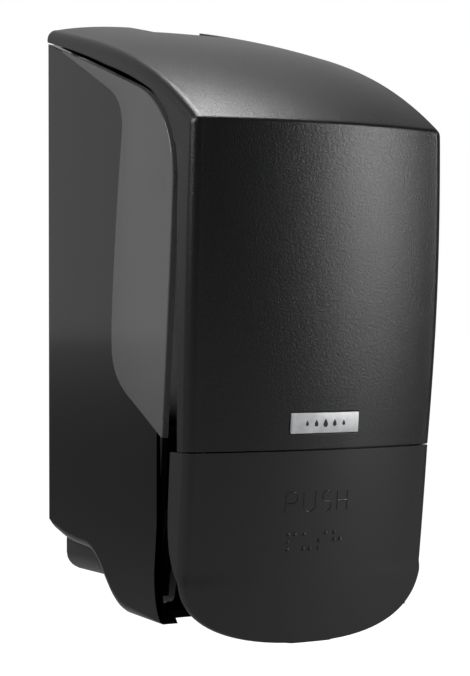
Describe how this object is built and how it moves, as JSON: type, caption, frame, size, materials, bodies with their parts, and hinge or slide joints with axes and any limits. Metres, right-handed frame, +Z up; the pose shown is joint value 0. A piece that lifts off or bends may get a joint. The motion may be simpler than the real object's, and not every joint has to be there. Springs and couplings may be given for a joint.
{
  "type": "soap dispenser",
  "caption": "Wall mounted push-lever soap dispenser: glossy rear shell with smoked side windows, hinged charcoal cover, push lever, cartridge with pump, rocker and key lock.",
  "frame": {"origin": "middle of the wall plate's back face, on the wall", "axes": "+X to the right seen from the front, +Y into the wall, +Z up"},
  "size_m": [0.0998, 0.12, 0.22],
  "materials": {
    "cover_plastic": "satin charcoal, fine spark-eroded grain",
    "lever_plastic": "satin charcoal, fine spark-eroded grain",
    "gloss_shell": "near black, high gloss",
    "smoked_window": "smoked, see-through",
    "black_plastic": "black, as moulded",
    "bottle_plastic": "milky white",
    "nozzle_plastic": "milky white",
    "pump_plastic": "white, as moulded",
    "plate_steel": "zinc plated sheet",
    "screw_steel": "zinc plated",
    "pin_steel": "ground steel",
    "spring_steel": "stainless",
    "lock_metal": "nickel plated",
    "silver_label": "printed metallic label, blank",
    "seal_rubber": "soft"
  },
  "bodies": {
    "housing": {"wall_plate": "plate_steel", "rear_shell": "gloss_shell", "side_window_left": "smoked_window", "side_window_right": "smoked_window", "shell_screw_1": "screw_steel", "shell_screw_2": "screw_steel", "shell_screw_3": "screw_steel", "chassis": "black_plastic", "chassis_screw_1": "screw_steel", "chassis_screw_2": "screw_steel", "soap_bottle": "bottle_plastic", "neck_seal": "seal_rubber", "neck_collar": "pump_plastic", "pump_body": "pump_plastic", "inlet_ball": "spring_steel", "pump_spring": "spring_steel", "rocker_axle": "pin_steel", "lock_housing": "black_plastic", "hinge_pin_left": "pin_steel", "hinge_pin_right": "pin_steel"},
    "cover": {"front_cover": "cover_plastic", "name_plate": "silver_label", "cover_frame": "black_plastic", "frame_screw_1": "screw_steel", "frame_screw_2": "screw_steel", "frame_screw_3": "screw_steel", "frame_screw_4": "screw_steel", "lever_pin_left": "pin_steel", "lever_pin_right": "pin_steel"},
    "lever": {"push_lever": "lever_plastic"},
    "rocker_body": {"rocker": "black_plastic"},
    "stem": {"pump_stem": "pump_plastic", "nozzle_tip": "nozzle_plastic"},
    "lock": {"lock_barrel": "lock_metal", "lock_cam": "lock_metal", "cam_screw": "screw_steel"}
  },
  "joints": [
    {"name": "cover_hinge", "type": "hinge", "parent": "housing", "child": "cover", "pos_m": [0, -0.081, -0.105], "axis": [1, 0, 0], "range_deg": [0, 85]},
    {"name": "lever_pivot", "type": "hinge", "parent": "cover", "child": "lever", "pos_m": [0, -0.099, -0.044], "axis": [1, 0, 0], "range_deg": [0, 6], "stiffness_Nm_per_rad": 2, "springref_deg": -4.58},
    {"name": "rocker_pivot", "type": "hinge", "parent": "housing", "child": "rocker_body", "pos_m": [0, -0.079, -0.08], "axis": [1, 0, 0], "range_deg": [0, 15.1]},
    {"name": "pump_slide", "type": "slide", "parent": "housing", "child": "stem", "axis": [0, 0, 1], "range_m": [0, 0.0075], "deforming": ["pump_spring"]},
    {"name": "lock_turn", "type": "hinge", "parent": "housing", "child": "lock", "pos_m": [0, -0.014, 0.066], "axis": [0, 0, -1], "range_deg": [0, 90]}
  ],
  "couplings": [
    {"joint": "rocker_pivot", "follows": "lever_pivot", "ratio": 2.5},
    {"joint": "pump_slide", "follows": "lever_pivot", "m_per_rad": 0.0706}
  ]
}
